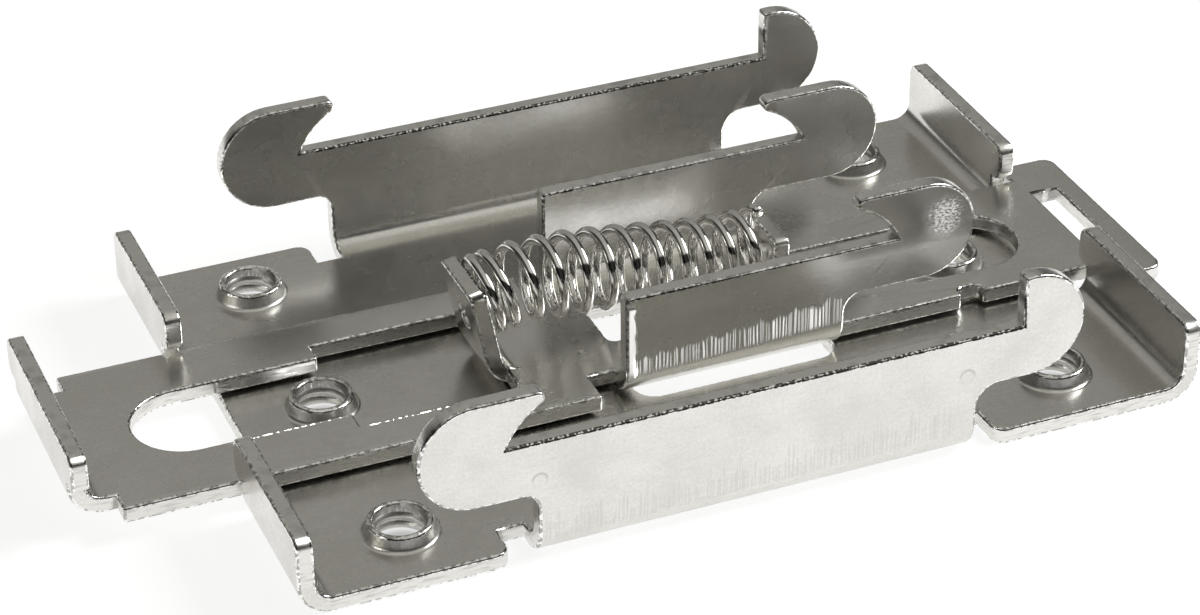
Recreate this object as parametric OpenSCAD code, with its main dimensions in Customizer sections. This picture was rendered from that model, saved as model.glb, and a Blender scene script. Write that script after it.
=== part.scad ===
// Clip-on mounting bracket for a 35 mm mounting rail: a folded base plate with six tapped
// collars, a folded latch that slides lengthwise under the base plate's end lips, and a
// compression spring that keeps the latch shut. Millimetres.
// Frame: origin in the middle of the base plate's underside, x along the latch's travel
// (the latch opens toward +x), z up toward the rail.

/* [Sheet] */
// Thickness of both folded sheets
sheet_t = 1.2; // [1:0.1:1.4]
// Inside radius of every bend
bend_r = 1.2; // [0.8:0.1:1.4]
// Height of the air gap between the base plate and the latch
slide_gap = 0.25; // [0.1:0.05:0.4]

/* [Base plate] */
// Length over the outer faces of the end lips
base_len = 64.6; // [62:0.2:70]
// Width over the outer faces of the side walls
base_w = 42.2; // [40:0.2:46]
// How far the ears stand back from the side walls' outer faces
ear_in = 0.3; // [0:0.05:0.6]
// Gap between an ear and the end of the side wall beside it
ear_gap = 1.8; // [1.2:0.1:2.2]
// Depth of that gap, from the side walls' outer faces
relief_in = 3; // [2.6:0.1:3.4]
// Corner radius of the ears
ear_r = 1; // [0.4:0.1:1.8]
// Distance of the window's left edge from the middle
window_left = 3.4; // [2:0.1:4.5]
// Width of the window
window_w = 15.6; // [12:0.1:17]
// Corner radius of the window
window_r = 1.5; // [0.5:0.1:2.5]

/* [End lips] */
// Air gap between the latch and the lips that reach over it
lip_gap = 0.3; // [0.2:0.05:0.6]
// Height of the part of a lip that reaches over the latch
lip_cap = 2.95; // [2.4:0.05:4]
// Corner radius of the lips
lip_r = 0.9; // [0.3:0.1:1.1]
// How far the left lips reach over the latch's edges
lip_over_left = 0.8; // [0.6:0.1:1.6]
// How far the right lips reach over the latch's neck
lip_over_right = 0.5; // [0.4:0.1:1]
// Sideways gap between the latch and the lips' feet
side_gap = 0.65; // [0.3:0.05:1]

/* [Tapped collars] */
// Spacing of the collars along x
hole_dx = 47.6; // [46:0.1:50]
// Spacing of neighbouring collars along y
hole_dy = 15.875; // [14.375:0.125:16.625]
// Pitch diameter of the tapped hole
hole_d = 3.55; // [2.75:0.05:3.65]
// Outside diameter of a collar at its foot
collar_d = 4.9; // [4.7:0.1:5.6]
// Outside diameter of a collar's rim
collar_rim_d = 4.4; // [4.2:0.1:4.6]
// Height of a collar above the sheet
collar_h = 1.05; // [0.7:0.05:1.2]
// Radius of the fillet round a collar's foot
collar_foot_r = 0.4; // [0.2:0.05:0.45]
// Depth of the drawn-in edge under a collar
draw_in = 0.35; // [0.15:0.05:0.6]

/* [Rail seat] */
// Width of the rail
rail_w = 35; // [33:0.5:36]
// Play of the rail between the fixed hooks and the stops
rail_play = 1.5; // [1:0.1:2.5]
// How much narrower than the rail the shut latch grips
grip = 1.3; // [0.6:0.1:2]
// Height of the seat that carries the rail, above the underside
seat_h = 9.35; // [9.1:0.05:10.8]
// Radius of a hook's nose
nose_r = 0.5; // [0.35:0.05:0.6]

/* [Fixed hooks and stops] */
// Radius of the round backs of the hooks and stops
lobe_r = 3.85; // [3.4:0.05:4.2]
// Depth of their centres below the seat
lobe_drop = 0.15; // [0.05:0.05:0.7]
// Distance of a hook's centre behind the end of the seat
hook_back = 2.15; // [1.6:0.05:3]
// Reach of a hook's nose over the seat
hook_reach = 2.65; // [2.2:0.05:3.2]
// Radius of a hook's hollow underside
hook_throat_r = 6; // [4.5:0.1:8]
// Distance of a stop's centre behind its face
stop_back = 0.75; // [0.4:0.05:1.6]
// Distance from the end of the seat to the end of the bend, hook side
hook_wall_in = 2.05; // [1.6:0.05:2.6]
// Distance from the end of the seat to the end of the bend, stop side
stop_wall_in = 3.25; // [2.6:0.05:4]
// Fillet under a hook
hook_fillet_r = 1.1; // [0.5:0.1:1.6]
// Fillet under a stop
stop_fillet_r = 1.7; // [0.8:0.1:2.2]

/* [Latch] */
// Width of the latch between the left lips
latch_w = 16.9; // [15.9:0.1:18]
// Width of the neck between the right lips
neck_w = 12.9; // [12:0.1:14]
// Opening travel of the latch
latch_travel = 8; // [6:0.5:8.5]
// Width of the head that stops on the right lips
head_w = 17; // [16:0.1:19]
// Length of the head
head_len = 4.35; // [3.8:0.05:6]
// Corner radius of the head
head_r = 1; // [0.4:0.1:1.6]
// Gap between the head and the right lips when the latch is shut
stop_gap = 0.1; // [0.05:0.05:0.4]
// Length of the screwdriver slot in the head
driver_len = 2; // [1.6:0.1:2.6]
// Width of the screwdriver slot in the head
driver_w = 8.5; // [6:0.1:10]
// Distance of the screwdriver slot behind the head's shoulder
driver_in = 0.6; // [0.5:0.05:0.9]
// Width of the slot round the middle collars
slot_w = 7.4; // [6.8:0.1:8]
// How far the slots run on past the collars
slot_over = 1.5; // [1:0.1:2]
// Width of the wide end of the left slot
slot_wide_w = 10.6; // [9:0.1:12]
// Where the left slot widens, from the collar's axis
slot_step = 1; // [0.4:0.1:3]
// Corner radius of the wide end of the left slot
slot_wide_r = 0.8; // [0.4:0.1:2.4]
// Left edge of the cross-member, from the middle
cross_left = 11.4; // [10.9:0.1:12]
// Right edge of the cross-member, from the middle
cross_right = 3.55; // [2.6:0.05:4.5]
// Width of the slot under the spring
spring_slot_w = 4.6; // [4.4:0.1:6]
// Where the slot under the spring opens into the slot round the collar
spring_slot_end = 12; // [11.8:0.1:16]
// Corner radius of the slots' square ends
slot_r = 0.6; // [0.2:0.1:1]

/* [Latch assembly notches] */
// Latch movement at which the notches pass the lips
notch_stroke = 9.2; // [8.8:0.1:9.5]
// Length of a notch
notch_len = 1.75; // [1.5:0.05:2.4]
// Width left between the notches of the neck
notch_neck_w = 11; // [10:0.1:11.6]
// Width left between the notches beside the pull lip
notch_pull_w = 13.4; // [12:0.1:14]

/* [Pull lip] */
// Distance from the left end lips to the pull lip
pull_gap = 9.65; // [9:0.05:11]
// Width of the pull lip
pull_w = 16.4; // [14:0.1:18]
// Height of the pull lip's top above the underside
pull_h = 7; // [6:0.1:9]
// Height of the pull lip's shoulders above the underside
pull_foot_h = 4.2; // [3.6:0.1:4.6]
// Corner radius of the pull lip
pull_r = 0.8; // [0.3:0.1:1]

/* [Latch walls and hooks] */
// Width over the outer faces of the latch's walls
latch_wall_w = 16.4; // [15.8:0.1:16.8]
// Left end of the latch's walls, from the middle
latch_wall_left = 4.75; // [3.6:0.05:5.2]
// Radius of the walls' upper left corners
latch_wall_r = 0.4; // [0.3:0.1:2]
// Gap between the latch's shoulders and its walls
latch_wall_gap = 1.85; // [1:0.05:2.2]
// Width left beside that gap
latch_gap_w = 11.4; // [10:0.1:13]
// How much higher the latch's seat stands than the base plate's
latch_seat_up = 0.3; // [0.1:0.05:0.5]
// Radius of the round backs of the latch's hooks
latch_lobe_r = 3.7; // [3.2:0.1:4]
// Height of their centres above the latch's seat
latch_lobe_rise = 0.05; // [0:0.05:0.6]
// Distance of a latch hook's centre behind the grip
latch_hook_back = 2.2; // [1.8:0.05:2.8]
// Reach of a latch hook's nose
latch_reach = 3.1; // [2.4:0.05:3.4]
// Radius of a latch hook's hollow underside
latch_throat_r = 5.4; // [4:0.1:7]
// Distance from the grip to the end of the walls' bend
latch_wall_in = 3.95; // [3.4:0.05:4.6]
// Fillet under a latch hook
latch_fillet_r = 1.4; // [0.6:0.1:1.8]

/* [Spring tabs] */
// Spring face of the base plate's tab, from the middle
base_tab_x = 9.05; // [8.2:0.05:9.2]
// Width of the base plate's tab
base_tab_w = 4.05; // [3.4:0.05:4.1]
// Height of the base plate's tab above the underside
base_tab_h = 7.5; // [7:0.1:9]
// Where the latch's tab starts to bend up, from the middle
latch_tab_x = 10.5; // [10.1:0.05:10.9]
// Width of the latch's tab
latch_tab_w = 6; // [5:0.1:6.2]
// Length of the straight part of the latch's tab
latch_tab_len = 5.6; // [5:0.1:6.5]
// Lean of the latch's tab away from the spring
latch_tab_lean = 11.2; // [0:0.1:14]
// Corner radius of the tabs
tab_r = 0.5; // [0.2:0.1:1]
// Diameter of the pressed pegs that enter the spring
peg_d = 1.8; // [1.2:0.1:2]
// Height of the pegs above the tabs' faces
peg_h = 0.6; // [0.3:0.1:0.9]
// Distance of the latch tab's peg from the end of its bend
latch_peg_up = 2.5; // [2.2:0.1:3]
// Height of the base tab's peg above the underside
base_peg_up = 5.5; // [4.9:0.1:6]

/* [Spring] */
// Wire diameter
wire_d = 0.75; // [0.5:0.05:0.8]
// Outside diameter of the coils
coil_d = 6; // [5.4:0.1:6.4]
// Number of turns
turns = 12; // [9:1:13]
// Closed turns at the latch's end
closed_turns = 1; // [0.6:0.1:1.4]
// Distance of the spring's axis from the end of the latch tab's bend
coil_up_latch = 3.6; // [3.3:0.1:3.8]
// Height of the spring's axis at the base plate's tab
coil_up_base = 6.3; // [5.9:0.05:6.6]
// Rise of the spring's axis where it meets the base plate's tab
spring_rise = 7.5; // [4:0.5:10]
// Gap between the spring's first turn and the latch's tab
seat_gap = 0.05; // [0.03:0.01:0.2]

/* [Hidden] */
$fn = 64;
big = 200;
bite = 0.01;
bend_out = bend_r + sheet_t;
base_end = base_len / 2;
base_half = base_w / 2;
ear_half = base_half - ear_in;
flat_end = base_end - bend_out;
fold_y = base_half - bend_out;
seat_end = (rail_w + rail_play) / 2;
wall_x0 = hook_wall_in - seat_end;
wall_x1 = seat_end - stop_wall_in;
latch_z = sheet_t + slide_gap;
latch_top = latch_z + sheet_t;
latch_seat = seat_h + latch_seat_up;
lip_z0 = latch_top + lip_gap;
lip_z1 = lip_z0 + lip_cap;
grip_x = rail_w - seat_end - grip;
latch_wall_x1 = grip_x - latch_wall_in;
latch_fold_y = latch_wall_w / 2 - bend_out;
latch_bend_z = latch_z + bend_out;
shoulder_x = base_end + stop_gap;
pull_x = -base_end - pull_gap - sheet_t;
notch_x = base_end - sheet_t / 2;
slot_x0 = -hole_dx / 2 - latch_travel - slot_over;
slot_x1 = hole_dx / 2 + slot_over;
base_peg_at = [bend_out, base_peg_up - bend_out];
latch_peg_at = [bend_r, latch_peg_up];
coil_r = (coil_d - wire_d) / 2;
wire_sides = 8;
turn_steps = 24;
end_pitch = wire_d * 1.1;
spring_off = wire_d / 2 + seat_gap;
lean_dir = [cos(latch_tab_lean), sin(latch_tab_lean)];
spring_p0 = [-latch_tab_x, latch_bend_z]
    + (spring_off - bend_r) * lean_dir
    + coil_up_latch * [-lean_dir[1], lean_dir[0]];
spring_p1 = [base_tab_x, coil_up_base];
spring_span = spring_p1[0] - spring_p0[0];

// Extrudes a y-z outline from x0 to x1
module along_x(x0, x1) {
    translate([x0, 0, 0]) rotate([90, 0, 90]) linear_extrude(x1 - x0) children();
}

// Extrudes an x-z outline from y0 to y1
module along_y(y0, y1) {
    translate([0, y1, 0]) rotate([90, 0, 0]) linear_extrude(y1 - y0) children();
}

// The same thing on both sides of the middle plane
module both_sides() {
    children();
    mirror([0, 1, 0]) children();
}

// Rectangle between two corners
module box_2d(x0, y0, x1, y1) {
    translate([x0, y0]) square([x1 - x0, y1 - y0]);
}

// Rectangle between two corners with all four corners rounded
module rounded_2d(x0, y0, x1, y1, r) {
    box_2d(x0 + r, y0, x1 - r, y1);
    box_2d(x0, y0 + r, x1, y1 - r);
    for (x = [x0 + r, x1 - r])
        for (y = [y0 + r, y1 - r])
            translate([x, y]) circle(r);
}

// Section of a bend about the origin: the sheet turned up leaves on the left toward +y, and
// the flat sheet leaves below, turned back by the angle at which the other leans out
module bend_2d(lean = 0) {
    difference() {
        intersection() {
            circle(bend_out);
            box_2d(-big, -big, big, 0);
            rotate(-lean) box_2d(-big, -big, 0, big);
        }
        circle(bend_r);
    }
}

// Fills the hollow corner at the origin, under a ledge on the left of a wall, and runs on
// into both
module fillet_2d(r) {
    difference() {
        box_2d(-r, -r, r, r);
        translate([-r, -r]) circle(r);
    }
}

// Centre of the hollow under a hook: a circle through the origin that touches the nose
function throat_centre(nose, r) =
    let (d = norm(nose), a = (r * r - (r + nose_r) * (r + nose_r) + d * d) / (2 * d))
    let (h = sqrt(r * r - a * a))
    [a * nose[0] + h * nose[1], a * nose[1] - h * nose[0]] / d;

// Outline of a hook over a seat that ends at the origin and runs toward +x; its arm runs on
// into the wall under the seat
module hook_2d(back, drop, r, reach, throat_r, wall_in, fillet_r) {
    top = r - drop;
    nose = [reach - nose_r, top - nose_r];
    throat = throat_centre(nose, throat_r);
    touch = nose + nose_r * (throat - nose) / norm(throat - nose);
    difference() {
        union() {
            translate([-back, -drop]) circle(r);
            box_2d(-back, -drop - r, wall_in + r, 0);
            box_2d(-back, 0, nose[0], top);
            box_2d(-back, 0, touch[0], nose[1]);
            translate(nose) circle(nose_r);
        }
        intersection() {
            translate(throat) circle(throat_r + bite);
            box_2d(-big, 0, big, big);
        }
    }
    translate([wall_in, -drop - r]) fillet_2d(fillet_r);
}

// Outline of a rail stop whose face stands at the origin, seat toward -x
module stop_2d() {
    difference() {
        union() {
            translate([stop_back, -lobe_drop]) circle(lobe_r);
            box_2d(-stop_wall_in - lobe_r, -lobe_drop - lobe_r, stop_back, 0);
        }
        box_2d(-big, 0, 0, big);
    }
    translate([-stop_wall_in, -lobe_drop - lobe_r]) mirror([1, 0]) fillet_2d(stop_fillet_r);
}

// Tab turned up from a sheet whose flat ends at the origin, in x-z about its bend's centre
module tab_2d(len, lean) {
    rotate(lean) {
        bend_2d(lean);
        box_2d(-bend_out, 0, -bend_r, len);
    }
}

// Tab with rounded upper corners; the flat sheet's top lies at z = -bend_r
module tab(w, len, lean) {
    intersection() {
        along_y(-w / 2, w / 2) tab_2d(len, lean);
        rotate([0, -lean, 0]) along_x(-big, big)
            rounded_2d(-w / 2, -big, w / 2, len, tab_r);
    }
}

// One tapped collar, a low cone with a fillet round its foot, without its hole
module collar() {
    lean = atan((collar_d - collar_rim_d) / 2 / collar_h);
    foot_h = collar_foot_r * (1 - sin(lean));
    foot_x = collar_d / 2 + foot_h / cos(lean);
    translate([0, 0, sheet_t]) rotate_extrude() {
        polygon([[0, 0], [collar_d / 2, 0], [collar_rim_d / 2, collar_h], [0, collar_h]]);
        difference() {
            box_2d(0, 0, foot_x, foot_h);
            translate([foot_x, collar_foot_r]) circle(collar_foot_r);
        }
    }
}

// Hole of a tapped collar with the drawn-in edge on the underside
module collar_hole() {
    cylinder(d = hole_d, h = big, center = true);
    translate([0, 0, -draw_in]) cylinder(d1 = hole_d + 4 * draw_in, d2 = hole_d, h = 2 * draw_in);
}

module collar_places() {
    for (x = [-hole_dx / 2, hole_dx / 2])
        for (y = [-hole_dy, 0, hole_dy])
            translate([x, y, 0]) children();
}

// Flat part of the base plate with its ears and window
module base_flat_2d() {
    difference() {
        union() {
            box_2d(-flat_end, relief_in - base_half, flat_end, base_half - relief_in);
            box_2d(wall_x0, -fold_y, wall_x1, fold_y);
            intersection() {
                union() {
                    rounded_2d(-big, -ear_half, wall_x0 - ear_gap, ear_half, ear_r);
                    rounded_2d(wall_x1 + ear_gap, -ear_half, big, ear_half, ear_r);
                }
                box_2d(-flat_end, -ear_half, flat_end, ear_half);
            }
        }
        rounded_2d(-window_left, -window_w / 2, base_tab_x + bend_out, window_w / 2, window_r);
    }
}

// Side wall toward -y: the fold, the rail seat, the fixed hook and the stop
module base_wall() {
    along_x(wall_x0, wall_x1) translate([-fold_y, bend_out]) bend_2d();
    along_y(-base_half, -base_half + sheet_t) {
        box_2d(wall_x0, bend_out, wall_x1, seat_h);
        translate([-seat_end, seat_h])
            hook_2d(hook_back, lobe_drop, lobe_r, hook_reach, hook_throat_r,
                    hook_wall_in, hook_fillet_r);
        translate([seat_end, seat_h]) stop_2d();
    }
}

// End lip toward -x and +y that reaches over the latch's edge at the given half-width
module end_lip(edge_y, over) {
    foot_y = edge_y + side_gap;
    along_y(foot_y, ear_half) translate([-flat_end, bend_out]) bend_2d();
    along_x(-base_end, -base_end + sheet_t) {
        rounded_2d(edge_y - over, lip_z0, ear_half, lip_z1, lip_r);
        box_2d(foot_y, bend_out, ear_half, lip_z1 - lip_r);
    }
}

module base_plate() {
    color("Silver") {
        difference() {
            union() {
                linear_extrude(sheet_t) base_flat_2d();
                collar_places() collar();
            }
            collar_places() collar_hole();
        }
        both_sides() {
            base_wall();
            end_lip(latch_w / 2, lip_over_left);
            mirror([1, 0, 0]) end_lip(neck_w / 2, lip_over_right);
        }
        translate([base_tab_x + bend_out, 0, bend_out]) difference() {
            union() {
                tab(base_tab_w, base_tab_h - bend_out, 0);
                translate([-base_peg_at[0], 0, base_peg_at[1]]) rotate([0, -90, 0])
                    cylinder(d = peg_d, h = peg_h);
            }
            translate([-bend_r, 0, base_peg_at[1]]) rotate([0, -90, 0])
                cylinder(d = peg_d, h = peg_h);
        }
    }
}

// Outer outline of the latch's flat part
module latch_outline_2d() {
    difference() {
        box_2d(pull_x + bend_out, -latch_w / 2, -latch_wall_left - latch_wall_gap, latch_w / 2);
        both_sides() box_2d(-big, notch_pull_w / 2, -notch_x - notch_stroke + notch_len / 2, big);
    }
    box_2d(-latch_wall_left - latch_wall_gap, -latch_gap_w / 2, -latch_wall_left, latch_gap_w / 2);
    box_2d(-latch_wall_left, -latch_fold_y, latch_wall_x1, latch_fold_y);
    difference() {
        box_2d(latch_wall_x1, -neck_w / 2, shoulder_x, neck_w / 2);
        both_sides() rounded_2d(notch_x - notch_stroke - notch_len / 2, notch_neck_w / 2,
                                notch_x - notch_stroke + notch_len / 2, big, slot_r);
    }
    rounded_2d(shoulder_x, -head_w / 2, shoulder_x + head_len, head_w / 2, head_r);
}

// Slots in the latch's flat part
module latch_slots_2d() {
    translate([slot_x0, 0]) circle(d = slot_w);
    box_2d(slot_x0, -slot_w / 2, -cross_left - slot_wide_r, slot_w / 2);
    intersection() {
        rounded_2d(-big, -slot_wide_w / 2, -cross_left, slot_wide_w / 2, slot_wide_r);
        box_2d(-hole_dx / 2 + slot_step, -big, 0, big);
    }
    rounded_2d(-cross_right, -spring_slot_w / 2, slot_x1, spring_slot_w / 2, slot_r);
    intersection() {
        rounded_2d(spring_slot_end, -slot_w / 2, big, slot_w / 2, slot_r);
        box_2d(0, -big, slot_x1, big);
    }
    translate([slot_x1, 0]) circle(d = slot_w);
    box_2d(shoulder_x + driver_in, -driver_w / 2, shoulder_x + driver_in + driver_len, driver_w / 2);
}

// Wall toward -y with its hook, turned up from the latch
module latch_wall() {
    along_x(-latch_wall_left, latch_wall_x1) translate([-latch_fold_y, latch_bend_z]) bend_2d();
    along_y(-latch_wall_w / 2, -latch_wall_w / 2 + sheet_t) {
        intersection() {
            rounded_2d(-latch_wall_left, -big, big, latch_seat, latch_wall_r);
            box_2d(-latch_wall_left, latch_bend_z, latch_wall_x1, latch_seat);
        }
        translate([grip_x, latch_seat]) mirror([1, 0])
            hook_2d(latch_hook_back, -latch_lobe_rise, latch_lobe_r, latch_reach, latch_throat_r,
                    latch_wall_in, latch_fillet_r);
    }
}

// Lip at the latch's left end, with notches beside its foot
module pull_lip() {
    up = pull_h - latch_bend_z;
    translate([pull_x + bend_out, 0, latch_bend_z]) {
        along_y(-notch_pull_w / 2, notch_pull_w / 2) tab_2d(up - pull_r, 0);
        along_x(-bend_out, -bend_r)
            rounded_2d(-pull_w / 2, max(pull_foot_h - latch_bend_z, 0), pull_w / 2, up, pull_r);
    }
}

module latch_slider() {
    color("LightGray") {
        translate([0, 0, latch_z]) linear_extrude(sheet_t) difference() {
            latch_outline_2d();
            latch_slots_2d();
        }
        both_sides() latch_wall();
        pull_lip();
        translate([-latch_tab_x, 0, latch_bend_z]) difference() {
            union() {
                tab(latch_tab_w, latch_tab_len, latch_tab_lean);
                rotate([0, -latch_tab_lean, 0]) translate([-latch_peg_at[0], 0, latch_peg_at[1]])
                    rotate([0, 90, 0]) cylinder(d = peg_d, h = peg_h);
            }
            rotate([0, -latch_tab_lean, 0]) translate([-bend_out, 0, latch_peg_at[1]])
                rotate([0, 90, 0]) cylinder(d = peg_d, h = peg_h);
        }
    }
}

// The spring's axis: a cubic curve in x-z, u from 0 to 1, that leaves the latch's tab squarely
// and climbs against the base plate's tab
function axis_at(u) =
    let (k = tan(latch_tab_lean) * spring_span, m = tan(spring_rise) * spring_span)
    [spring_p0[0] + spring_span * u,
     spring_p0[1] * (2 * u * u * u - 3 * u * u + 1)
     + k * u * (1 - u) * (1 - u) - m * u * u * (1 - u)
     + spring_p1[1] * (3 * u * u - 2 * u * u * u)];
function axis_slope(u) =
    let (k = tan(latch_tab_lean), m = tan(spring_rise))
    atan((spring_p1[1] - spring_p0[1]) / spring_span * 6 * u * (1 - u)
         + k * (1 - u) * (1 - 3 * u) + m * u * (3 * u - 2));

// Share of the spring's length reached after t turns, the first ones closed
function advance(t) =
    let (closed = closed_turns * end_pitch)
    (t < closed_turns ? t * end_pitch
     : closed + (spring_span - closed) * (t - closed_turns) / (turns - closed_turns)) / spring_span;

// Point of the wire's skin: t turns from the left end, angle a round the wire
function wire_point(t, a) =
    let (u = advance(t), c = axis_at(u), s = axis_slope(u))
    let (r = coil_r + wire_d / 2 * cos(a), f = wire_d / 2 * sin(a))
    [c[0] - sin(s) * r * cos(360 * t) + cos(s) * f,
     -r * sin(360 * t),
     c[1] + cos(s) * r * cos(360 * t) + sin(s) * f];

module spring() {
    rings = round(turns * turn_steps);
    points = [for (i = [0 : rings]) for (j = [0 : wire_sides - 1])
        wire_point(turns * i / rings, 360 * j / wire_sides)];
    skin = [for (i = [0 : rings - 1]) for (j = [0 : wire_sides - 1])
        let (k = (j + 1) % wire_sides, p = i * wire_sides, q = p + wire_sides)
        for (f = [[p + j, p + k, q + k], [p + j, q + k, q + j]]) f];
    first = [for (j = [0 : wire_sides - 1]) wire_sides - 1 - j];
    last = [for (j = [0 : wire_sides - 1]) rings * wire_sides + j];
    color("Gainsboro") polyhedron(points, concat(skin, [first, last]), convexity = 8);
}

base_plate();
latch_slider();
spring();
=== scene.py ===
import bpy
import numpy as np
from mathutils import Euler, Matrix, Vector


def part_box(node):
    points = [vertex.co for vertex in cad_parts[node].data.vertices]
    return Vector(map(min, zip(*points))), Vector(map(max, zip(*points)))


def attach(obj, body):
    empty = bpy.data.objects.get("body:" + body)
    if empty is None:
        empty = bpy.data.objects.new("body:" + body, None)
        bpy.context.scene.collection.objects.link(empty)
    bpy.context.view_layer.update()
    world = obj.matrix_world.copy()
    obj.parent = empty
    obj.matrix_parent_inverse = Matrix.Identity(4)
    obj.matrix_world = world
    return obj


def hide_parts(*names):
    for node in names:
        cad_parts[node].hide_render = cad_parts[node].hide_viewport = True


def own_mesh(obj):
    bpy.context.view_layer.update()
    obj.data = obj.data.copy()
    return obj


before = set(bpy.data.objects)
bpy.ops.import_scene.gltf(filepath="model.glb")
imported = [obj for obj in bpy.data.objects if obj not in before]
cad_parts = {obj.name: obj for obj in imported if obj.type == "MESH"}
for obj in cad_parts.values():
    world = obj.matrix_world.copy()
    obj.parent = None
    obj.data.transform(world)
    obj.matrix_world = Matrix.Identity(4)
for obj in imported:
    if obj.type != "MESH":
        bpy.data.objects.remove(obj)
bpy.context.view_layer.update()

# Base plate
# One blank of cold-rolled steel, pierced, drawn and folded in a progressive die, then nickel
# plated all over. The rolled faces are bright; the sheared edges are torn and speckled.
MM = 0.001
SHEET = 1.2 * MM
BEND_OUT = 2.4 * MM
WALL_REACH = 25 * MM
PLATE_END = 30.3 * MM
HOLE_X = 23.8 * MM
HOLE_Y = 15.875 * MM
BROKEN_CORNER = 0.20 * MM
BROKEN_STEPS = 4
SHARP_TURN = np.radians(55)
NICKEL = (0.81, 0.80, 0.765)
NICKEL_DULL = (0.70, 0.688, 0.65)
NICKEL_TORN = (0.60, 0.59, 0.565)
NO_TILT = (0.0, 0.0, 0.0)


def node_of(tree, kind, **settings):
    """A shader node with its plain settings; a key that names an input sets that input's value."""
    made = tree.nodes.new(kind)
    for key, value in settings.items():
        if hasattr(made, key):
            setattr(made, key, value)
        else:
            made.inputs[key.replace("_", " ")].default_value = value
    return made


def noise_of(tree, where, scale, detail=2.0, stretch=(1.0, 1.0, 1.0)):
    """Noise over the object's own coordinates, per millimetre; a smaller stretch draws it out."""
    place = node_of(tree, "ShaderNodeMapping")
    place.inputs["Scale"].default_value = tuple(s / MM for s in stretch)
    tree.links.new(where, place.inputs["Vector"])
    noise = node_of(tree, "ShaderNodeTexNoise", Scale=scale, Detail=detail, Roughness=0.55)
    tree.links.new(place.outputs["Vector"], noise.inputs["Vector"])
    return noise.outputs["Fac"]


def ranged(tree, value, low, high, to_low, to_high):
    """value carried from low..high to to_low..to_high, held at the ends."""
    made = node_of(tree, "ShaderNodeMapRange")
    for key, number in zip(("From Min", "From Max", "To Min", "To Max"), (low, high, to_low, to_high)):
        made.inputs[key].default_value = number
    tree.links.new(value, made.inputs["Value"])
    return made.outputs["Result"]


def combined(tree, operation, a, b):
    """Two values joined by one sum; either may be a plain number."""
    made = node_of(tree, "ShaderNodeMath", operation=operation)
    for socket, value in zip(made.inputs, (a, b)):
        if isinstance(value, (int, float)):
            socket.default_value = value
        else:
            tree.links.new(value, socket)
    return made.outputs["Value"]


def absolute(tree, value):
    """The value without its sign."""
    return combined(tree, "ABSOLUTE", value, 0.0)


def hypotenuse(tree, a, b):
    """The square root of a squared plus b squared."""
    squares = combined(tree, "ADD", combined(tree, "MULTIPLY", a, a), combined(tree, "MULTIPLY", b, b))
    return combined(tree, "SQRT", squares, 0.0)


def product(tree, first, *others):
    """All the values multiplied together."""
    for other in others:
        first = combined(tree, "MULTIPLY", first, other)
    return first


def within(tree, value, low, high, soft):
    """1 between low and high and 0 outside, with soft ends."""
    return product(tree, ranged(tree, value, low - soft, low + soft, 0.0, 1.0),
                   ranged(tree, value, high - soft, high + soft, 1.0, 0.0))


def mixed_colour(tree, factor, a, b):
    """Colour a where factor is 0 and b where it is 1."""
    made = node_of(tree, "ShaderNodeMix", data_type="RGBA")
    tree.links.new(factor, made.inputs["Factor"])
    for socket, value in ((made.inputs[6], a), (made.inputs[7], b)):
        if isinstance(value, tuple):
            socket.default_value = (*value, 1.0)
        else:
            tree.links.new(value, socket)
    return made.outputs[2]


def mixed_value(tree, factor, a, b):
    """Value a where factor is 0 and the number b where it is 1."""
    made = node_of(tree, "ShaderNodeMix", data_type="FLOAT")
    tree.links.new(factor, made.inputs[0])
    tree.links.new(a, made.inputs[2])
    made.inputs[3].default_value = b
    return made.outputs[0]


def tilted(tree, facing, factor, tilt):
    """The facing direction plus factor times a fixed tilt, brought back to length one."""
    lean = node_of(tree, "ShaderNodeVectorMath", operation="MULTIPLY_ADD")
    tree.links.new(factor, lean.inputs[0])
    lean.inputs[1].default_value = tilt
    tree.links.new(facing, lean.inputs[2])
    made = node_of(tree, "ShaderNodeVectorMath", operation="NORMALIZE")
    tree.links.new(lean.outputs["Vector"], made.inputs[0])
    return made.outputs["Vector"]


def millimetres(tree, where):
    """The object's own x, y and z as three values in millimetres."""
    place = node_of(tree, "ShaderNodeMapping")
    place.inputs["Scale"].default_value = (1.0 / MM, 1.0 / MM, 1.0 / MM)
    tree.links.new(where, place.inputs["Vector"])
    parts = node_of(tree, "ShaderNodeSeparateXYZ")
    tree.links.new(place.outputs["Vector"], parts.inputs["Vector"])
    return parts.outputs["X"], parts.outputs["Y"], parts.outputs["Z"]


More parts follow.
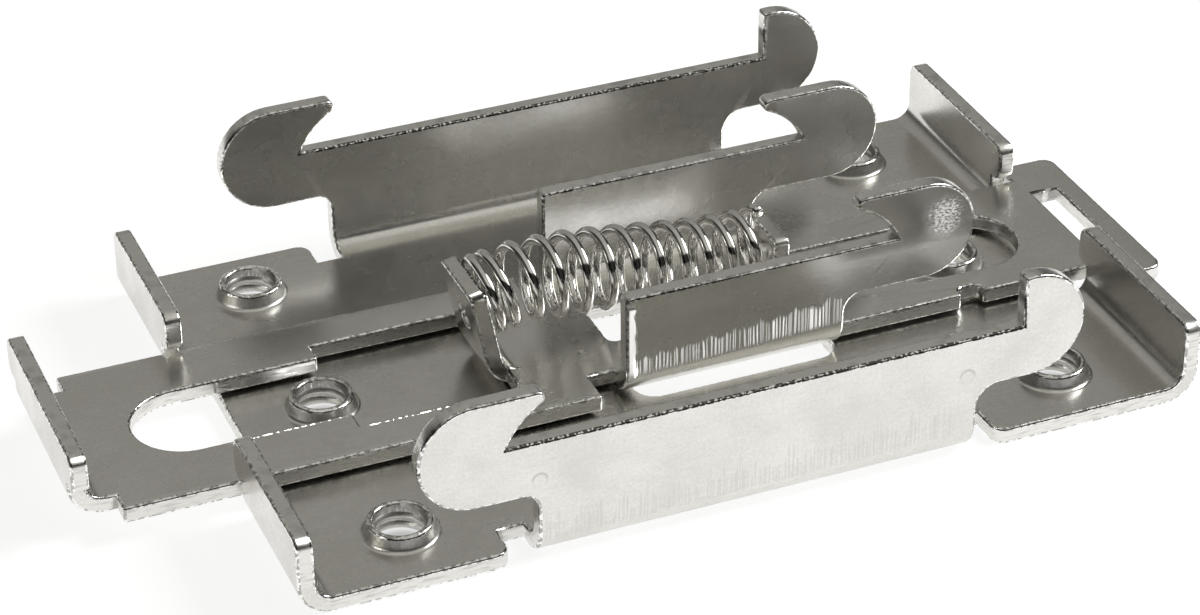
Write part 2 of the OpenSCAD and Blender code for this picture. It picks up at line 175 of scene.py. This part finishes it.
def strokes(tree, where, span, low, high, ragged, count):
    """Upright strokes, count to the millimetre, between two heights that rise along the span; the upper one
    is ragged."""
    upright = (1.0, 0.0, 0.03)
    x, _, z = millimetres(tree, where)
    along = ranged(tree, x, *span, 0.0, 1.0)
    bottom = ranged(tree, along, 0.0, 1.0, *low)
    top = ranged(tree, along, 0.0, 1.0, *high)
    tooth = ranged(tree, noise_of(tree, where, 1.1, 2.0, (1.0, 0.0, 0.0)), 0.3, 0.7, -ragged, ragged)
    top = combined(tree, "ADD", top, tooth)
    place = node_of(tree, "ShaderNodeMapping")
    place.inputs["Scale"].default_value = tuple(s / MM for s in upright)
    tree.links.new(where, place.inputs["Vector"])
    bands = node_of(tree, "ShaderNodeTexWave", Scale=np.pi / 10.0 * count, Distortion=6.5, Detail=1.0)
    bands.inputs["Detail Scale"].default_value = 2.2
    tree.links.new(place.outputs["Vector"], bands.inputs["Vector"])
    depth = ranged(tree, noise_of(tree, where, 1.9, 1.0, upright), 0.35, 0.6, 0.88, 1.0)
    stroke = product(tree, ranged(tree, bands.outputs["Fac"], 0.3, 0.75, 0.0, 1.0), depth)
    return product(tree, stroke, within(tree, x, *span, 0.15),
                   ranged(tree, combined(tree, "SUBTRACT", z, bottom), -0.1, 0.15, 0.0, 1.0),
                   ranged(tree, combined(tree, "SUBTRACT", z, top), -0.15, 0.1, 1.0, 0.0))


def distance_from(tree, where, x0, z0):
    """Distance in millimetres from a point of the x-z plane."""
    x, _, z = millimetres(tree, where)
    return hypotenuse(tree, combined(tree, "SUBTRACT", x, x0), combined(tree, "SUBTRACT", z, z0))


def plated(name):
    """A bare metal: the material, its node tree, its shader and the object's own coordinates."""
    material = bpy.data.materials.new(name)
    material.use_nodes = True
    tree = material.node_tree
    shader = tree.nodes["Principled BSDF"]
    shader.inputs["Metallic"].default_value = 1.0
    return material, tree, shader, node_of(tree, "ShaderNodeTexCoord").outputs["Object"]


def rolled_face(name, *marks):
    """Plated rolled sheet: bright, with a faint rolling grain, soft mottling and small stains. Each mark is a
    function that gives a mask and the colour, the roughness and the tilt that the surface takes there."""
    material, tree, shader, where = plated(name)
    mottle = noise_of(tree, where, 0.22, 3.0)
    grain = noise_of(tree, where, 3.2, 2.0, (0.25, 1.0, 1.0))
    orange_peel = noise_of(tree, where, 1.6, 2.0)
    speckle = ranged(tree, noise_of(tree, where, 4.5, 2.0), 0.3, 0.7, -0.35, 0.35)
    tone = combined(tree, "ADD", mottle, combined(tree, "MULTIPLY", grain, 0.35))
    tone = combined(tree, "ADD", ranged(tree, tone, 0.45, 0.95, 0.0, 1.0), speckle)
    colour = mixed_colour(tree, tone, NICKEL_DULL, NICKEL)
    roughness = ranged(tree, mottle, 0.3, 0.7, 0.30, 0.22)
    facing = node_of(tree, "ShaderNodeNewGeometry").outputs["Normal"]
    for mark in marks:
        mask, tint, dullness, tilt = mark(tree, where)
        colour = mixed_colour(tree, mask, colour, tint)
        roughness = mixed_value(tree, mask, roughness, dullness)
        facing = tilted(tree, facing, mask, tilt)
    tree.links.new(colour, shader.inputs["Base Color"])
    tree.links.new(roughness, shader.inputs["Roughness"])
    bump = node_of(tree, "ShaderNodeBump", Strength=0.20, Distance=0.02 * MM)
    height = combined(tree, "ADD", orange_peel, combined(tree, "MULTIPLY", grain, 0.6))
    tree.links.new(height, bump.inputs["Height"])
    tree.links.new(facing, bump.inputs["Normal"])
    tree.links.new(bump.outputs["Normal"], shader.inputs["Normal"])
    return material


def lip_ends(tree, where, facing):
    """Mask of the round top corners at the front ends of the front end lips and of the pull lip: 1 near those
    ends, where the surface faces partly upward."""
    x, y, _ = millimetres(tree, where)
    parts = node_of(tree, "ShaderNodeSeparateXYZ")
    tree.links.new(facing, parts.inputs["Vector"])
    end_lip = product(tree, ranged(tree, absolute(tree, x), 29.5, 30.0, 0.0, 1.0),
                      ranged(tree, y, -19.9, -19.7, 1.0, 0.0))
    pull_lip = product(tree, ranged(tree, x, -41.0, -40.5, 1.0, 0.0), within(tree, y, -8.4, -7.3, 0.1))
    upward = within(tree, parts.outputs["Z"], 0.5, 0.97, 0.03)
    return product(tree, combined(tree, "MAXIMUM", end_lip, pull_lip), upward)


def slot_walls(tree, where, tear):
    """Mask of the walls of the latch's slots over the base plate: nearly 1 beside the collars, half farther
    out, and weaker in the tears."""
    x, y, z = millimetres(tree, where)
    outward = absolute(tree, x)
    inside = ranged(tree, absolute(tree, y), 3.8, 4.0, 1.0, 0.0)
    return product(tree, inside, within(tree, z, 1.35, 2.75, 0.05),
                   ranged(tree, outward, 22.0, 23.0, 0.0, 1.0), ranged(tree, outward, 25.5, 28.0, 0.92, 0.5),
                   ranged(tree, outward, 29.9, 30.3, 1.0, 0.0), ranged(tree, tear, 0.35, 0.65, 0.88, 1.0))


def sheared_edge(name):
    """Plated sheared edge: a little rougher than the rolled face, with fine tears. The front ends of the lips
    turn toward the lamp, and the walls of the latch's slots turn upward."""
    material, tree, shader, where = plated(name)
    tear = noise_of(tree, where, 4.0, 3.0, (0.2, 0.2, 1.6))
    colour = mixed_colour(tree, ranged(tree, tear, 0.3, 0.5, 0.0, 1.0), NICKEL_TORN, NICKEL)
    tree.links.new(colour, shader.inputs["Base Color"])
    tree.links.new(ranged(tree, tear, 0.35, 0.65, 0.34, 0.26), shader.inputs["Roughness"])
    facing = node_of(tree, "ShaderNodeNewGeometry").outputs["Normal"]
    ends = lip_ends(tree, where, facing)
    facing = tilted(tree, facing, ends, (0.38, 0.0, 0.0))
    facing = tilted(tree, facing, slot_walls(tree, where, tear), (0.4, 0.0, 1.0))
    bump = node_of(tree, "ShaderNodeBump", Strength=0.16, Distance=0.05 * MM)
    tree.links.new(facing, bump.inputs["Normal"])
    tree.links.new(tear, bump.inputs["Height"])
    tree.links.new(bump.outputs["Normal"], shader.inputs["Normal"])
    return material


def burr_with_painted_glints(name):
    """The narrow broken corner beside a sheared edge, over small burrs: painted glints on most edges, and
    along the straight rail seats a painted dark band, the painted shade of the dark room it mirrors, with
    painted glints in dots."""
    material, tree, shader, where = plated(name)
    x, y, z = millimetres(tree, where)
    latch_side = product(tree, ranged(tree, absolute(tree, y), 10.0, 11.0, 1.0, 0.0),
                         ranged(tree, x, -1.0, 4.0, 0.0, 0.8))
    seat = product(tree, within(tree, z, 8.9, 9.62, 0.05), combined(tree, "SUBTRACT", 1.0, latch_side))
    # Painted shade and painted glints: a near-black band with white dots along the rail seats, and brighter
    # spots of base colour on the other corners.
    dots = ranged(tree, noise_of(tree, where, 4.2, 1.0), 0.51, 0.58, 0.0, 1.0)
    painted_dark_band = mixed_colour(tree, dots, (0.12, 0.12, 0.11), (0.96, 0.96, 0.94))
    glints = ranged(tree, noise_of(tree, where, 3.4, 2.0), 0.44, 0.54, 0.0, 1.0)
    bright = mixed_colour(tree, glints, (0.42, 0.415, 0.395), (0.98, 0.98, 0.96))
    tree.links.new(mixed_colour(tree, seat, bright, painted_dark_band), shader.inputs["Base Color"])
    shader.inputs["Roughness"].default_value = 0.18
    bump = node_of(tree, "ShaderNodeBump", Strength=0.55, Distance=0.06 * MM)
    tree.links.new(noise_of(tree, where, 2.6, 2.0), bump.inputs["Height"])
    tree.links.new(bump.outputs["Normal"], shader.inputs["Normal"])
    return material


def face_arrays(node):
    """Centres and outward normals of a node's triangles, one row each, in the row frame."""
    faces = node.data.polygons
    centres = np.empty(len(faces) * 3)
    normals = np.empty(len(faces) * 3)
    faces.foreach_get("center", centres)
    faces.foreach_get("normal", normals)
    return centres.reshape(-1, 3), normals.reshape(-1, 3)


def outer_corners(mesh):
    """1 for each edge of a triangle mesh where two faces meet at an outward corner sharper than SHARP_TURN,
    0 for the others: the far corner of the one face lies below the plane of the other."""
    points = np.empty(len(mesh.vertices) * 3)
    mesh.vertices.foreach_get("co", points)
    points = points.reshape(-1, 3)
    corner = np.empty(len(mesh.loops), dtype=np.int64)
    mesh.loops.foreach_get("vertex_index", corner)
    edge = np.empty(len(mesh.loops), dtype=np.int64)
    mesh.loops.foreach_get("edge_index", edge)
    place = np.unique(points, axis=0, return_inverse=True)[1].ravel()[corner].reshape(-1, 3)
    ends = np.sort(np.stack([place, np.roll(place, -1, axis=1)], axis=-1).reshape(-1, 2), axis=1)
    order = np.lexsort((ends[:, 1], ends[:, 0]))
    one, other = order[0::2], order[1::2]
    triangles = points[corner].reshape(-1, 3, 3)
    across = np.cross(triangles[:, 1] - triangles[:, 0], triangles[:, 2] - triangles[:, 0])
    across /= np.maximum(np.linalg.norm(across, axis=1), 1e-15)[:, None]
    far = triangles[other // 3, (other % 3 + 2) % 3] - triangles[other // 3, other % 3]
    turn = np.sum(across[one // 3] * across[other // 3], axis=1)
    outward = (turn < np.cos(SHARP_TURN)) & (np.sum(across[one // 3] * far, axis=1) < 0.0)
    marks = np.zeros(len(mesh.edges))
    marks[edge[one]] = outward
    marks[edge[other]] = outward
    return marks


def dress(node, materials, sheared):
    """Puts the rolled finish on a node and the sheared one on the marked triangles, and breaks its outer
    corners, which take the third finish."""
    node.data.materials.clear()
    for material in materials:
        node.data.materials.append(material)
    node.data.polygons.foreach_set("material_index", sheared.astype(np.int32))
    weight = node.data.attributes.new("bevel_weight_edge", "FLOAT", "EDGE")
    weight.data.foreach_set("value", outer_corners(node.data))
    weld = node.modifiers.new("weld", "WELD")
    weld.merge_threshold = 0.0005 * MM
    flat = node.modifiers.new("flat", "DECIMATE")
    flat.decimate_type = "DISSOLVE"
    flat.angle_limit = np.radians(0.4)
    flat.delimit = {"MATERIAL"}
    split = node.modifiers.new("split", "TRIANGULATE")
    split.min_vertices = 5
    edge = node.modifiers.new("edge", "BEVEL")
    edge.width = BROKEN_CORNER
    edge.segments = BROKEN_STEPS
    edge.limit_method = "WEIGHT"
    edge.use_clamp_overlap = False
    edge.loop_slide = False
    edge.material = len(materials) - 1
    shade = node.modifiers.new("shade", "WEIGHTED_NORMAL")
    shade.keep_sharp = False


def wall_strokes(tree, where):
    """Faint grey strokes of the folding die along the foot of both side walls."""
    _, y, _ = millimetres(tree, where)
    mask = strokes(tree, where, (-15.8, 13.5), (1.5, 2.0), (3.0, 3.8), 1.6, 3.4)
    outside = ranged(tree, absolute(tree, y), 20.4, 20.9, 0.0, 0.45)
    return product(tree, mask, outside), (0.60, 0.60, 0.575), 0.34, NO_TILT


def punch_rings(tree, where):
    """Two small rings that the stripper pins pressed into each side wall."""
    _, y, z = millimetres(tree, where)
    pins = ((-16.1, 6.45), (14.2, 6.45))
    rings = [within(tree, distance_from(tree, where, *pin), 0.42, 0.58, 0.07) for pin in pins]
    outside = ranged(tree, absolute(tree, y), 20.95, 21.05, 0.0, 0.5)
    mask = product(tree, combined(tree, "MAXIMUM", *rings), ranged(tree, z, 6.3, 6.7, 0.15, 1.0), outside)
    return mask, (0.36, 0.36, 0.34), 0.34, NO_TILT


def from_hole(tree, where):
    """Distance in millimetres from the axis of the nearest of the six collars."""
    x, y, _ = millimetres(tree, where)
    across = combined(tree, "SUBTRACT", absolute(tree, x), HOLE_X / MM)
    row = absolute(tree, y)
    outer_row = absolute(tree, combined(tree, "SUBTRACT", row, HOLE_Y / MM))
    return hypotenuse(tree, across, combined(tree, "MINIMUM", row, outer_row))


def drawn_collar(tree, where):
    """The collars were stretched out of the sheet; their skin is coloured darker grey, rougher and coarse."""
    _, _, z = millimetres(tree, where)
    coarse = ranged(tree, noise_of(tree, where, 3.0, 2.0), 0.35, 0.65, 0.55, 1.0)
    mask = product(tree, ranged(tree, from_hole(tree, where), 2.6, 2.9, 1.0, 0.0),
                   ranged(tree, z, 1.25, 1.4, 0.0, 1.0), coarse)
    return mask, (0.46, 0.455, 0.435), 0.42, NO_TILT


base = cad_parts["base_plate"]
base_high = np.array(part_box("base_plate")[1])
base_finish = rolled_face("nickel_plate", wall_strokes, punch_rings, drawn_collar)
sheared = sheared_edge("nickel_sheared")
painted_glint_edge = burr_with_painted_glints("nickel_burr_painted_glints")
centre, normal = face_arrays(base)
facing = np.abs(normal)
on_wall = (np.abs(centre[:, 1]) > base_high[1] - 1.05 * SHEET) & (np.abs(centre[:, 0]) < WALL_REACH)
on_wall &= centre[:, 2] > BEND_OUT
on_lip = (np.abs(centre[:, 0]) > base_high[0] - 1.05 * SHEET) & (centre[:, 2] > BEND_OUT)
on_flat = ~on_wall & ~on_lip & (centre[:, 2] < 1.02 * SHEET)
cut = (on_wall & (facing[:, 1] < 0.5)) | (on_lip & (facing[:, 0] < 0.5))
cut |= on_flat & (facing[:, 2] < 0.02) & (np.abs(centre[:, 0]) < PLATE_END)
dress(base, [base_finish, sheared, painted_glint_edge], cut)

# Threads
# M4 threads cut by a tap into the six drawn collars, in the base plate's own steel and finish: one
# helical ridge stands in each hole.
THREAD_PITCH = 0.7 * MM
THREAD_TURNS = 2.2
THREAD_RUNOUT = 0.12
THREAD_START = 0.42 * MM
THREAD_ROOT = 1.80 * MM
THREAD_CREST = 1.60 * MM
THREAD_STEPS = 110
RIDGE_FOOT = 0.31 * MM
RIDGE_TOP = 0.07 * MM


def mesh_piece(name, points, faces, material):
    """A smooth piece from an array of points and lists of corners, at the origin."""
    mesh = bpy.data.meshes.new(name)
    mesh.from_pydata(points, [], faces)
    mesh.polygons.foreach_set("use_smooth", np.ones(len(mesh.polygons), dtype=bool))
    mesh.materials.append(material)
    made = bpy.data.objects.new(name, mesh)
    bpy.context.scene.collection.objects.link(made)
    return made


def grid_faces(rows, columns, first):
    """Corners of the quads of a grid of points kept row by row, counted from its first point."""
    i, j = np.meshgrid(np.arange(rows - 1), np.arange(columns - 1), indexing="ij")
    corner = (first + i * columns + j).reshape(-1, 1)
    return corner + np.array([0, 1, columns + 1, columns])


def thread_ridges(steps):
    """A trapezoid of foot and top width, carried up a helix at the root radius; it runs out at both ends."""
    turn = np.linspace(0.0, THREAD_TURNS, steps)[:, None]
    stand = np.clip(np.minimum(turn, THREAD_TURNS - turn) / THREAD_RUNOUT, 0.0, 1.0)
    across = np.array([-RIDGE_FOOT, -RIDGE_TOP, RIDGE_TOP, RIDGE_FOOT])
    radius = THREAD_ROOT - np.array([0.0, 1.0, 1.0, 0.0]) * stand * (THREAD_ROOT - THREAD_CREST)
    angle = 2.0 * np.pi * turn
    height = THREAD_START + THREAD_PITCH * turn + across
    ridge = np.stack([radius * np.cos(angle), radius * np.sin(angle), height], axis=-1).reshape(-1, 3)
    centres = np.array([(x, y, 0.0) for x in (-HOLE_X, HOLE_X) for y in (-HOLE_Y, 0.0, HOLE_Y)])
    points = (centres[:, None, :] + ridge).reshape(-1, 3)
    faces = np.concatenate([grid_faces(steps, len(across), k * len(ridge)) for k in range(len(centres))])
    return points, faces


threads = mesh_piece("threads", *thread_ridges(THREAD_STEPS), base_finish)
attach(threads, "base")

# Latch
# A second folded blank that slides under the end lips. Its walls keep the scratches of the
# folding die along the bend, a ground strip at their left ends and a hammered spot on the front hook.
LATCH_TOP = 2.67 * MM
LATCH_BEND_TOP = 3.8 * MM
LATCH_WALL_IN = 6.7 * MM
LATCH_WALL_LEFT = -5 * MM
SLOT_FRONT = -3.7
SLOT_WIDE_FRONT = -5.3
SLOT_STEP = -22.8
FRESH_NICKEL = (0.90, 0.89, 0.86)
WALL_GLINT = (0.30, 0.0, 0.80)
TOP_GLINT = (0.41, -0.79, 0.0)


def outer_faces(tree, where):
    """1 on the outer faces of both latch walls."""
    _, y, _ = millimetres(tree, where)
    return ranged(tree, absolute(tree, y), 7.9, 8.1, 0.0, 1.0)


def front_face(tree, where):
    """1 on the outer face of the front latch wall."""
    _, y, _ = millimetres(tree, where)
    return ranged(tree, y, -8.15, -8.0, 1.0, 0.0)


def painted_dark_hook(tree, where):
    """The front hook is darker than the wall below it: its mirror image is tilted, and its grey tint is
    painted shade.
    """
    x, _, z = millimetres(tree, where)
    mask = product(tree, ranged(tree, x, 10.0, 12.0, 0.0, 1.0), ranged(tree, z, 8.6, 10.4, 0.0, 1.0),
                   front_face(tree, where))
    # The grey colour here is painted shade.
    return mask, (0.38, 0.375, 0.355), 0.24, (0.0, 0.0, -0.2)


def die_scratches(tree, where):
    """Bright scratches low on the outer faces of both walls; each faces upward."""
    mask = strokes(tree, where, (-4.3, 11.2), (3.3, 4.0), (4.7, 5.9), 0.4, 3.7)
    return product(tree, mask, outer_faces(tree, where)), FRESH_NICKEL, 0.40, WALL_GLINT


def ground_strip(tree, where):
    """The ragged bright strip at the left ends of both walls."""
    x, _, z = millimetres(tree, where)
    ragged = ranged(tree, noise_of(tree, where, 1.6, 3.0), 0.3, 0.7, -0.14, 0.14)
    mask = ranged(tree, combined(tree, "SUBTRACT", x, ragged), -4.15, -3.95, 1.0, 0.0)
    height = within(tree, z, 2.7, 8.9, 0.2)
    return product(tree, mask, outer_faces(tree, where), height), FRESH_NICKEL, 0.40, WALL_GLINT


def hammered_spot(tree, where):
    """Small dents around one place of the front hook, fewer toward the rim."""
    near = ranged(tree, distance_from(tree, where, 18.97, 10.74), 0.6, 2.0, 0.8, 0.0)
    dents = ranged(tree, noise_of(tree, where, 5.5, 2.0, (0.7, 0.0, 1.3)), 0.30, 0.66, 0.0, 1.0)
    return product(tree, near, dents, front_face(tree, where)), FRESH_NICKEL, 0.30, (0.0, 0.0, 0.45)


def pressed_corner(tree, where):
    """The flattened front corner on top of the spring tab; it faces the lamp."""
    x, y, z = millimetres(tree, where)
    mask = product(tree, within(tree, x, -17.0, -12.0, 0.1), ranged(tree, y, -2.35, -2.2, 1.0, 0.0),
                   ranged(tree, y, -3.6, -3.4, 0.0, 1.0), ranged(tree, z, 8.6, 8.75, 0.0, 1.0))
    return mask, FRESH_NICKEL, 0.22, TOP_GLINT


def slot_burr(tree, where):
    """The burr along the front edge of the left slot, which glints in dots on both sides of its step."""
    x, y, z = millimetres(tree, where)
    near, far = 0.18, 0.34
    narrow = product(tree, within(tree, y, SLOT_FRONT - far, SLOT_FRONT - near, 0.04),
                     within(tree, x, -31.8, SLOT_STEP - 0.4, 0.1))
    wide = product(tree, within(tree, y, SLOT_WIDE_FRONT - far, SLOT_WIDE_FRONT - near, 0.04),
                   within(tree, x, SLOT_STEP + 0.4, -14.5, 0.1))
    dots = ranged(tree, noise_of(tree, where, 4.0, 2.0), 0.42, 0.58, 0.1, 0.8)
    mask = product(tree, combined(tree, "MAXIMUM", narrow, wide), dots, within(tree, z, 2.5, 2.8, 0.05))
    return mask, FRESH_NICKEL, 0.24, TOP_GLINT


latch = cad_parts["latch_slider"]
latch_low = np.array(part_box("latch_slider")[0])
latch_marks = (painted_dark_hook, die_scratches, ground_strip, hammered_spot, pressed_corner, slot_burr)
latch_finish = rolled_face("nickel_latch", *latch_marks)
centre, normal = face_arrays(latch)
facing = np.abs(normal)
on_wall = (np.abs(centre[:, 1]) > LATCH_WALL_IN) & (centre[:, 0] > LATCH_WALL_LEFT)
on_wall &= centre[:, 2] > LATCH_BEND_TOP
on_pull = (centre[:, 0] < latch_low[0] + 1.05 * SHEET) & (centre[:, 2] > LATCH_BEND_TOP)
on_flat = ~on_wall & ~on_pull & (centre[:, 2] < LATCH_TOP)
cut = (on_wall & (facing[:, 1] < 0.5)) | (on_pull & (facing[:, 0] < 0.5))
cut |= on_flat & (facing[:, 2] < 0.02)
dress(latch, [latch_finish, sheared, painted_glint_edge], cut)

# Spring
# Compression spring wound from bright plated wire, closed at the latch's end. It sits over a pressed peg on
# each tab; it leaves the leaning latch tab squarely, sags, and climbs against the base plate's tab.
WIRE = 0.75 * MM
WIRE_SIDES = 20
COIL = 2.625 * MM
COIL_START = -0.18
COIL_TURNS = 12.0
COIL_STEPS = 620
CLOSED_PITCH = 0.825 * MM
LATCH_END = np.array([-11.960, 0.0, 7.231]) * MM
BASE_END = np.array([9.05, 0.0, 6.3]) * MM
LATCH_LEAN = np.radians(11.2)
BASE_CLIMB = np.radians(7.5)


def drawn_wire(name):
    """Bright drawn wire under thin plating, with fine streaks along its turns."""
    material, tree, shader, where = plated(name)
    streak = noise_of(tree, where, 2.4, 2.0)
    tone = ranged(tree, streak, 0.3, 0.7, 0.0, 1.0)
    colour = mixed_colour(tree, tone, (0.72, 0.71, 0.68), (0.82, 0.81, 0.78))
    tree.links.new(colour, shader.inputs["Base Color"])
    tree.links.new(ranged(tree, streak, 0.3, 0.7, 0.11, 0.07), shader.inputs["Roughness"])
    return material


def coil(steps, sides):
    """A round wire along a helix whose axis is a cubic that leaves the latch's tab at its lean and climbs
    against the base plate's tab; the first turn lies closed."""
    turn = np.linspace(COIL_START, COIL_TURNS, steps)
    span = BASE_END[0] - LATCH_END[0]
    advance = np.interp(turn, [0.0, 1.0, COIL_TURNS], [0.0, CLOSED_PITCH, span]) / span
    rise = BASE_END[2] - LATCH_END[2]
    lean = span * np.tan(LATCH_LEAN)
    climb = span * np.tan(BASE_CLIMB)
    lift = lean * (advance - 2.0 * advance ** 2 + advance ** 3) - climb * (advance ** 2 - advance ** 3)
    lift += rise * (3.0 * advance ** 2 - 2.0 * advance ** 3)
    tilt = lean * (1.0 - 4.0 * advance + 3.0 * advance ** 2) - climb * (2.0 * advance - 3.0 * advance ** 2)
    tilt = (tilt + rise * 6.0 * (advance - advance ** 2)) / span
    flat = np.zeros(steps)
    axis = LATCH_END + np.stack([span * advance, flat, lift], axis=-1)
    up = np.stack([-tilt, flat, flat + 1.0], axis=-1) / np.hypot(1.0, tilt)[:, None]
    angle = 2.0 * np.pi * turn[:, None]
    out = np.cos(angle) * up - np.sin(angle) * np.array([0.0, 1.0, 0.0])
    path = axis + COIL * out
    along = np.gradient(path, axis=0)
    along /= np.linalg.norm(along, axis=1)[:, None]
    out -= np.sum(out * along, axis=1)[:, None] * along
    out /= np.linalg.norm(out, axis=1)[:, None]
    side = np.cross(along, out)
    around = np.linspace(0.0, 2.0 * np.pi, sides, endpoint=False)[None, :, None]
    return path[:, None] + 0.5 * WIRE * (np.cos(around) * out[:, None] + np.sin(around) * side[:, None])


def tube_faces(rows, columns):
    """Corners of the quads of a grid whose last column joins the first, and of its two end caps."""
    here = np.arange((rows - 1) * columns)
    beside = here - here % columns + (here + 1) % columns
    quads = np.stack([here, beside, beside + columns, here + columns], axis=-1).tolist()
    return quads + [list(range(columns - 1, -1, -1)), list(range((rows - 1) * columns, rows * columns))]


rings = coil(COIL_STEPS, WIRE_SIDES)
wire_faces = tube_faces(COIL_STEPS, WIRE_SIDES)
spring = mesh_piece("spring_coil", rings.reshape(-1, 3), wire_faces, drawn_wire("nickel_wire"))
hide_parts("spring")
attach(spring, "base")
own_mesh(spring)

# Studio
# A white paper sweep lies under the part, in a room with a lit grey ceiling, a grey wall at the back and
# dark sides. One large soft box stands over the right end.
FLOOR = 3.0
PAPER_GREY = 0.36
PAPER_GLOW = 0.82
HOLE_GLOW = 0.5
floor_mesh = bpy.data.meshes.new("floor")
floor_corners = [(-FLOOR, -FLOOR, 0), (FLOOR, -FLOOR, 0), (FLOOR, FLOOR, 0), (-FLOOR, FLOOR, 0)]
floor_mesh.from_pydata(floor_corners, [], [(0, 1, 2, 3)])
floor = bpy.data.objects.new("floor", floor_mesh)
bpy.context.scene.collection.objects.link(floor)
floor_paint = bpy.data.materials.new("white_sweep")
floor_paint.use_nodes = True
tree = floor_paint.node_tree
paper = tree.nodes["Principled BSDF"]
paper.inputs["Base Color"].default_value = (PAPER_GREY, PAPER_GREY, PAPER_GREY, 1.0)
paper.inputs["Roughness"].default_value = 0.9
paper.inputs["Specular IOR Level"].default_value = 0.0
path = node_of(tree, "ShaderNodeLightPath")
seen = combined(tree, "MAXIMUM", path.outputs["Is Camera Ray"], path.outputs["Is Glossy Ray"])
seen = combined(tree, "MAXIMUM", seen, path.outputs["Is Transmission Ray"])
white = node_of(tree, "ShaderNodeEmission")
# The paper under the six tapped holes lies in the part's shade, so it glows less.
ground = node_of(tree, "ShaderNodeTexCoord").outputs["Object"]
under_hole = ranged(tree, from_hole(tree, ground), 1.5, 2.3, HOLE_GLOW, 1.0)
tree.links.new(product(tree, seen, under_hole, PAPER_GLOW), white.inputs["Strength"])
both = node_of(tree, "ShaderNodeAddShader")
tree.links.new(paper.outputs["BSDF"], both.inputs[0])
tree.links.new(white.outputs["Emission"], both.inputs[1])
tree.links.new(both.outputs["Shader"], tree.nodes["Material Output"].inputs["Surface"])
floor_mesh.materials.append(floor_paint)

room = bpy.data.worlds.new("room")
room.use_nodes = True
bpy.context.scene.world = room
tree = room.node_tree
direction = node_of(tree, "ShaderNodeTexCoord").outputs["Generated"]
parts = node_of(tree, "ShaderNodeSeparateXYZ")
tree.links.new(direction, parts.inputs["Vector"])
# Heights go from the front horizon over the zenith to the rear horizon, as parts of half a turn: a dark
# room behind the camera, a lit ceiling that starts 46 degrees up, and a grey wall at the back. Both side
# walls are dark.
CEILING = ((0.0, 0.03), (0.245, 0.03), (0.265, 0.62), (0.5, 0.48), (0.80, 0.295), (1.0, 0.26))
TINT = (1.0, 0.985, 0.92)
SIDE_DIM = 0.12
toward_front = combined(tree, "MULTIPLY", parts.outputs["Y"], -1.0)
height = combined(tree, "DIVIDE", combined(tree, "ARCTAN2", parts.outputs["Z"], toward_front), np.pi)
ramp = node_of(tree, "ShaderNodeValToRGB")
for place, _ in CEILING[1:-1]:
    ramp.color_ramp.elements.new(place)
for stop, (place, level) in zip(ramp.color_ramp.elements, CEILING):
    stop.position = place
    stop.color = (*(level * t for t in TINT), 1.0)
tree.links.new(height, ramp.inputs["Fac"])
background = tree.nodes["Background"]
tree.links.new(ramp.outputs["Color"], background.inputs["Color"])
sideways = absolute(tree, parts.outputs["X"])
tree.links.new(ranged(tree, sideways, 0.44, 0.64, 1.0, SIDE_DIM), background.inputs["Strength"])

LAMP_SIDE = 0.28
LAMP_POWER = 2.5
LAMP_DISTANCE = 0.6
LAMP_AIM = np.array([0.77, -0.11, 0.62])
box_light = bpy.data.lights.new("soft_box", "AREA")
box_light.shape = "RECTANGLE"
box_light.size = LAMP_SIDE
box_light.size_y = LAMP_SIDE
box_light.energy = LAMP_POWER
soft_box = bpy.data.objects.new("soft_box", box_light)
bpy.context.scene.collection.objects.link(soft_box)
soft_box.location = LAMP_AIM / np.linalg.norm(LAMP_AIM) * LAMP_DISTANCE
from_zenith = np.arctan2(np.hypot(LAMP_AIM[0], LAMP_AIM[1]), LAMP_AIM[2])
soft_box.rotation_euler = Euler((from_zenith, 0.0, np.arctan2(LAMP_AIM[0], -LAMP_AIM[1])))

# Camera
# A long lens at the front left, about a third of a right angle above the table. Its place and turn are
# those at which the part's corners fall where the photograph shows them.
LENS_PIXELS = 3478.03
FRAME_WIDTH = 1200
CAMERA_PLACE = (-80.465 * MM, -189.656 * MM, 132.096 * MM)
CAMERA_TURN = np.radians((57.9748, 0.4967, -22.4458))
lens = bpy.data.cameras.new("camera")
lens.sensor_width = 36.0
lens.lens = LENS_PIXELS / FRAME_WIDTH * lens.sensor_width
lens.clip_start = 0.01
camera = bpy.data.objects.new("camera", lens)
camera.location = CAMERA_PLACE
camera.rotation_euler = Euler(CAMERA_TURN)
bpy.context.scene.collection.objects.link(camera)
bpy.context.scene.camera = camera

bpy.context.scene.view_settings.view_transform = "Standard"
